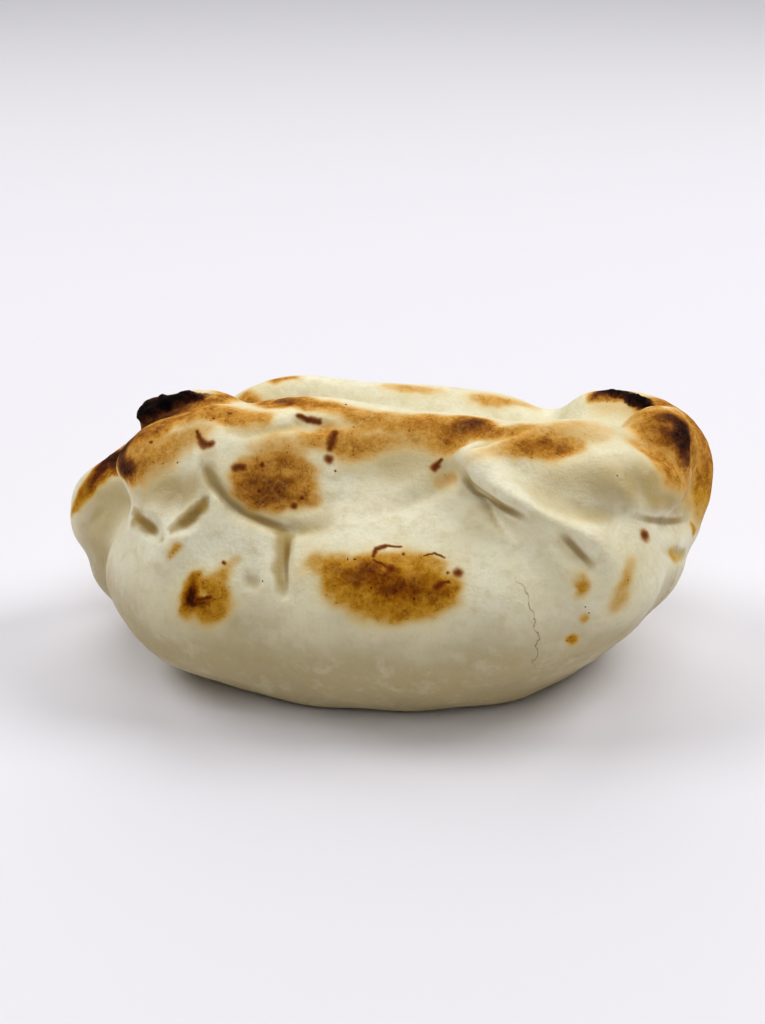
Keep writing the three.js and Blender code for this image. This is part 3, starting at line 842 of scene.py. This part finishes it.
class Nodes:
    """Short ways to add shader nodes to one material."""

    def __init__(self, name):
        self.material = bpy.data.materials.new(name)
        self.material.use_nodes = True
        self.tree = self.material.node_tree
        self.shader = self.tree.nodes["Principled BSDF"]
        self.place = self.tree.nodes.new("ShaderNodeTexCoord").outputs["Object"]

    def new(self, kind, inputs=(), **settings):
        node = self.tree.nodes.new(kind)
        for key, value in settings.items():
            setattr(node, key, value)
        for key, value in dict(inputs).items():
            self.put(node.inputs[key], value)
        return node

    def put(self, socket, value):
        if isinstance(value, bpy.types.NodeSocket):
            self.tree.links.new(value, socket)
        else:
            socket.default_value = value

    def finish(self, inputs):
        for key, value in inputs.items():
            self.put(self.shader.inputs[key], value)
        return self.material

    def attribute(self, name):
        return self.new("ShaderNodeAttribute", attribute_name=name).outputs["Fac"]

    def math(self, operation, first, second=0.0, clamp=False):
        return self.new("ShaderNodeMath", {0: first, 1: second}, operation=operation,
                        use_clamp=clamp).outputs[0]

    def vector(self, operation, first, second, output="Vector"):
        return self.new("ShaderNodeVectorMath", {0: first, 1: second},
                        operation=operation).outputs[output]

    def scaled(self, vector, factor):
        return self.new("ShaderNodeVectorMath", {0: vector, "Scale": factor},
                        operation="SCALE").outputs["Vector"]

    def noise(self, size_mm, detail=3.0, roughness=0.55, distortion=0.0, output="Fac"):
        node = self.new("ShaderNodeTexNoise", {"Vector": self.place, "Scale": 1000 / size_mm,
                                               "Detail": detail, "Roughness": roughness,
                                               "Distortion": distortion})
        return node.outputs[output]

    def cells(self, size_mm):
        return self.new("ShaderNodeTexVoronoi", {"Vector": self.place,
                                                 "Scale": 1000 / size_mm}).outputs["Distance"]

    def remap(self, value, low, high, to_low=0.0, to_high=1.0):
        return self.new("ShaderNodeMapRange", {"Value": value, "From Min": low, "From Max": high,
                                               "To Min": to_low, "To Max": to_high},
                        interpolation_type="SMOOTHSTEP").outputs["Result"]

    def product(self, *factors):
        return reduce(lambda first, second: self.math("MULTIPLY", first, second), factors)

    def largest(self, values):
        return reduce(lambda first, second: self.math("MAXIMUM", first, second), values)

    def mix(self, share, first, second):
        return self.new("ShaderNodeMix", {0: share, 6: first, 7: second},
                        data_type="RGBA").outputs[2]

    def tinted(self, colour, tints):
        """A colour with tints laid over it. In each entry of (value, low, high, share, tint), the
        tint's share grows from none to the stated one as the value goes from low to high."""
        for value, low, high, share, tint in tints:
            colour = self.mix(self.remap(value, low, high, 0.0, share), colour, tint)
        return colour

    def colours(self, value, stops):
        node = self.new("ShaderNodeValToRGB", {"Fac": value})
        elements = node.color_ramp.elements
        while len(elements) < len(stops):
            elements.new(0.5)
        for element, (position, colour) in zip(elements, stops):
            element.position = position
            element.color = linear(*colour)
        return node.outputs["Color"]

    def bump(self, height, depth_mm, strength=0.5, normal=None, invert=False):
        node = self.new("ShaderNodeBump", {"Strength": strength, "Distance": depth_mm * MM,
                                           "Height": height}, invert=invert)
        if normal:
            self.put(node.inputs["Normal"], normal)
        return node.outputs["Normal"]

    def near_point(self, place, point, radius):
        """How deep inside a ball a place lies: 1 at its middle, 0 at its skin, less outside."""
        distance = self.vector("DISTANCE", place, tuple(point), "Value")
        return self.math("SUBTRACT", 1.0, self.math("DIVIDE", distance, radius))

    def near_line(self, place, start, end, radius):
        """The same for a rounded rod between two points."""
        run = end - start
        from_start = self.vector("SUBTRACT", place, tuple(start))
        share = self.vector("DOT_PRODUCT", from_start, tuple(run / (run @ run)), "Value")
        nearest = self.scaled(tuple(run), self.math("ADD", share, 0.0, clamp=True))
        distance = self.vector("DISTANCE", from_start, nearest, "Value")
        return self.math("SUBTRACT", 1.0, self.math("DIVIDE", distance, radius))


def dot_depth(n, place, row, points):
    """How deep a place lies in a dot of [u, v, radius in mm]."""
    return n.near_point(place, land([row], points)[0] * MM, row[2] * MM)


def line_depth(n, place, rows, points):
    """How deep a place lies in a stroke through such rows."""
    spots = [spot * MM for spot in land(rows, points)]
    radii = [row[2] * MM for row in rows]
    return n.largest([n.near_line(place, start, end, (first + second) / 2)
                      for start, end, first, second in zip(spots, spots[1:], radii, radii[1:])])


# Colours of the dough, of what is on it, and of the floor. The olives are painted shade in and
# beside the folds, and the tan at the foot is partly painted shade.
CREAM = linear(247, 241, 212)
BUTTER = linear(238, 229, 192)
OAT = linear(226, 213, 172)
WARM_CREAM = linear(244, 229, 178)
FLOUR = linear(228, 216, 184)
FOOT_TAN_AND_SHADE = linear(178, 158, 102)
GRAIN_TAN = linear(206, 190, 146)
LEE_SHADE_OLIVE = linear(184, 156, 86)
HOLLOW_SHADE_OLIVE = linear(170, 138, 66)
CREASE_SHADE_OLIVE = linear(184, 150, 70)
FOLD_LINE_SHADE = linear(134, 100, 34)
CRACK_TAN = linear(128, 108, 76)
FIBRE_GOLD = linear(196, 144, 44)
FIBRE_TAN = linear(224, 164, 84)
THREAD_BROWN = linear(116, 62, 20)
PORE_BROWN = linear(104, 50, 14)
MARK_HALO = linear(192, 132, 46)
MARK_EDGE = linear(136, 62, 18)
MARK_CORE = linear(80, 26, 8)
SPECK = linear(40, 24, 14)
SINGED = linear(104, 56, 24)
SCORCHED = linear(60, 30, 18)
BURNT = linear(14, 10, 9)
FLOOR_WHITE = linear(238, 236, 242)

# Toast from its faintest to its darkest, as (strength, colour): on the belly and on the rim.
GOLDEN_TOAST = [
    (0.0, (214, 188, 118)), (0.12, (222, 188, 104)), (0.25, (218, 174, 78)),
    (0.4, (202, 146, 42)), (0.55, (172, 112, 16)), (0.7, (142, 80, 8)),
    (0.85, (100, 42, 6)), (1.0, (58, 22, 8)),
]
TAN_TOAST = [
    (0.0, (240, 214, 148)), (0.12, (240, 210, 140)), (0.25, (230, 186, 104)),
    (0.4, (212, 155, 66)), (0.55, (178, 115, 34)), (0.7, (136, 80, 28)),
    (0.85, (88, 48, 28)), (1.0, (34, 19, 16)),
]

# Edges of the small marks waver by noise of this size and by this much, in mm.
WAVER_SIZE = 1000 / 900
WAVER = 0.6


def swing(n, value, low, high, reach):
    """A value from low to high as one from -reach to reach."""
    return n.remap(value, low, high, -reach, reach)


def marks_and_specks(n, points):
    """How deep a place lies in the small dark marks, and in the specks."""
    waver = n.noise(WAVER_SIZE, detail=1.0, roughness=0.5, output="Color")
    shift = n.vector("SUBTRACT", waver, (0.5, 0.5, 0.5))
    place = n.vector("ADD", n.place, n.scaled(shift, WAVER * MM))
    return [n.largest([line_depth(n, place, rows, points) for rows in lines]
                      + [dot_depth(n, place, row, points) for row in dots])
            for lines, dots in ((STROKES.values(), DOTS), ((), SPECKS))]


def thin_line(n, across, shown, edge, core):
    """1 on a thin line, 0 away from it; `edge` and `core` are distances in its radii."""
    return n.product(n.remap(n.math("ABSOLUTE", across), edge, core), n.attribute(shown))


def pale_dough(n, height, broad, mottle, fine, hollow, folds):
    """Cream, tan towards the foot with floury blotches on it, and olive in the folds. The tan is
    partly baked browning and partly painted shade; the olive is painted shade.
    """
    colour = n.mix(n.remap(broad, 0.35, 0.65), CREAM, BUTTER)
    foot = n.math("ADD", height, swing(n, broad, 0.3, 0.7, 0.003))
    floury = n.noise(5.0, detail=4.0, roughness=0.65)
    dusted = n.product(n.remap(floury, 0.5, 0.7, 0.0, 0.4), n.remap(height, 0.034, 0.022))
    colour = n.tinted(colour, [
        (mottle, 0.42, 0.75, 0.8, OAT),
        (n.attribute("warm"), 0.02, 0.45, 0.5, WARM_CREAM),
        # Darker towards the foot: partly baked browning, partly painted shade of the underside.
        (foot, 0.030, 0.014, 0.85, FOOT_TAN_AND_SHADE),
    ])
    colour = n.tinted(n.mix(dusted, colour, FLOUR), [
        (fine, 0.4, 0.75, 0.15, GRAIN_TAN),
        # Painted shade in the lee of folds.
        (n.attribute("shade"), 0.05, 0.9, 0.85, LEE_SHADE_OLIVE),
        # Painted shade that deepens into folds and creases.
        (hollow, 0.12, 0.8, 0.75, HOLLOW_SHADE_OLIVE),
        # Painted shade beside creases.
        (n.attribute("fold"), 1.6, 0.2, 0.5, CREASE_SHADE_OLIVE),
    ])
    # Painted shade: thin dark olive lines at the bottoms of crisp folds.
    return n.mix(n.product(folds, 0.7), colour, FOLD_LINE_SHADE)


def toasted(n, pale, toast, height, mottle, fine):
    """Toast over the pale dough, with lit fibres, brown threads and pores."""
    speckle = n.noise(0.45, detail=2.0, roughness=0.7)
    grain = n.math("ADD", swing(n, fine, 0.25, 0.75, 0.06), swing(n, speckle, 0.3, 0.7, 0.03))
    uneven = n.math("ADD", grain, swing(n, mottle, 0.3, 0.7, 0.1))
    level = n.math("ADD", toast, n.product(uneven, n.remap(toast, 0.2, 0.55)))
    browned = n.mix(n.remap(height, 0.032, 0.040), n.colours(level, GOLDEN_TOAST),
                    n.colours(level, TAN_TOAST))
    colour = n.mix(n.remap(level, 0.0, 0.4), pale, browned)
    fibres = n.noise(1.8, distortion=0.8)
    lit = n.product(n.remap(fibres, 0.46, 0.68, 0.0, 0.4), n.remap(toast, 0.25, 0.5),
                    n.remap(toast, 0.85, 0.6))
    fibre = n.mix(n.remap(height, 0.030, 0.036), FIBRE_GOLD, FIBRE_TAN)
    colour = n.mix(lit, colour, fibre)
    threads = n.noise(1.5, detail=2.0, roughness=0.5, distortion=1.2)
    ridge = n.math("ABSOLUTE", n.math("SUBTRACT", threads, 0.5))
    lines = n.product(n.remap(ridge, 0.04, 0.0), n.remap(mottle, 0.44, 0.56),
                      n.remap(toast, 0.22, 0.45), 0.55)
    pores = n.product(n.remap(n.cells(1.3), 0.22, 0.1), n.remap(mottle, 0.48, 0.58),
                      n.remap(toast, 0.14, 0.35), 0.6)
    return n.mix(pores, n.mix(lines, colour, THREAD_BROWN), PORE_BROWN)


def burnt(n, colour, char, mottle, fine):
    """Brown and black char, with a crumbled edge."""
    crumbs = n.math("ADD", swing(n, mottle, 0.3, 0.7, 0.16), swing(n, fine, 0.3, 0.7, 0.1))
    burn = n.math("ADD", char, n.product(crumbs, n.remap(char, 0.02, 0.2)))
    return n.tinted(colour, [
        (burn, 0.05, 0.4, 0.9, SINGED),
        (burn, 0.3, 0.62, 1.0, SCORCHED),
        (burn, 0.55, 0.95, 1.0, BURNT),
    ])


def crust_material(points):
    n = Nodes("crust")
    toast, char, hollow = [n.attribute(name) for name in ("toast", "char", "hollow")]
    height = n.new("ShaderNodeSeparateXYZ", {"Vector": n.place}).outputs["Z"]
    broad = n.noise(13.0, detail=2.0)
    mottle = n.noise(2.6, detail=5.0, roughness=0.6)
    fine = n.noise(0.7, roughness=0.6)
    folds = thin_line(n, n.attribute("fold_line"), "fold_shown", 2.2, 0.4)
    wavering = n.math("ADD", n.attribute("crack"), swing(n, n.noise(2.2), 0.3, 0.7, 0.5))
    split = thin_line(n, wavering, "crack_shown", 0.16, 0.04)
    marks, specks = marks_and_specks(n, points)
    colour = pale_dough(n, height, broad, mottle, fine, hollow, folds)
    colour = n.tinted(colour, [(marks, -0.9, 0.1, 0.7, MARK_HALO)])
    colour = n.tinted(toasted(n, colour, toast, height, mottle, fine), [
        (marks, -0.4, 0.4, 0.8, MARK_EDGE),
        (marks, 0.0, 0.9, 0.75, MARK_CORE),
        (specks, -0.1, 0.3, 0.9, SPECK),
    ])
    colour = burnt(n, n.mix(n.product(split, 0.6), colour, CRACK_TAN), char, mottle, fine)
    # Toast, char, marks and folds are dry and don't shine.
    dry = n.largest([n.remap(toast, 0.1, 0.5), n.remap(marks, -0.6, 0.0),
                     n.remap(char, 0.1, 0.5), folds, n.remap(hollow, 0.1, 0.5)])
    skin = n.bump(mottle, 0.7)
    grainy = n.bump(fine, 0.3, normal=skin)
    return n.finish({
        "Base Color": colour,
        "Roughness": n.remap(dry, 0.0, 1.0, 0.42, 0.7),
        "Specular IOR Level": n.remap(dry, 0.0, 1.0, 0.42, 0.02),
        "Subsurface Weight": 0.15,
        "Subsurface Radius": (1.0, 0.6, 0.3),
        "Subsurface Scale": 2 * MM,
        "Normal": n.bump(split, 0.3, 0.6, normal=grainy, invert=True),
    })


def floor_material():
    return Nodes("floor").finish({"Base Color": FLOOR_WHITE, "Roughness": 0.7,
                                  "Specular IOR Level": 0.2})


# --- Stage ---

# In metres: half the side of the floor, and the soft boxes' size and the place that they face.
FLOOR_HALF = 3.0
BOX_SIZE = 0.7
LIT_PLACE = Vector((0, 0, 0.03))
# How wide the lights from afar seem.
WIDE_ANGLE = math.radians(50)


def add_floor():
    mesh = bpy.data.meshes.new("floor")
    corners = [(-1, -1), (1, -1), (1, 1), (-1, 1)]
    mesh.from_pydata([(x * FLOOR_HALF, y * FLOOR_HALF, 0) for x, y in corners],
                     [], [(0, 1, 2, 3)])
    mesh.materials.append(floor_material())
    add_object("floor", mesh)


def face_from(thing, direction):
    """Turns a lamp or a camera to look from the stated direction."""
    thing.rotation_euler = (-Vector(direction)).to_track_quat("-Z", "Y").to_euler()


def add_lamp(name, kind, power, direction, place=(0, 0, 0), **settings):
    light = bpy.data.lights.new(name, kind)
    light.energy = power
    for key, value in settings.items():
        setattr(light, key, value)
    lamp = add_object(name, light)
    lamp.location = place
    face_from(lamp, direction)


def add_lights():
    for name, x, power in (("left box", -0.9, 6.5), ("right box", 0.9, 8.2)):
        place = Vector((x, 0.2, 1.0))
        add_lamp(name, "AREA", power, place - LIT_PLACE, place, shape="DISK", size=BOX_SIZE)
    for name, y, power in (("back", 1.2, 1.05), ("front", -0.7, 0.85), ("top", 0, 0.15)):
        add_lamp(name, "SUN", power, (0, y, 1.0), angle=WIDE_ANGLE)
    world = bpy.data.worlds.new("room")
    world.use_nodes = True
    background = world.node_tree.nodes["Background"]
    background.inputs["Color"].default_value = (1.0, 1.0, 1.0, 1.0)
    background.inputs["Strength"].default_value = 0.02
    bpy.context.scene.world = world
    bpy.context.scene.view_settings.view_transform = "Standard"


def add_camera():
    camera = bpy.data.cameras.new("camera")
    camera.lens = LENS
    camera.sensor_width = SENSOR
    camera.clip_start = 0.01
    holder = add_object("camera", camera)
    holder.location = EYE * MM
    face_from(holder, BACKWARD)
    bpy.context.scene.camera = holder


add_camera()
add_lights()
add_floor()
crust, crust_points = build_crust()
crust.data.materials.append(crust_material(crust_points))
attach(crust, "root")
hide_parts(NODE)
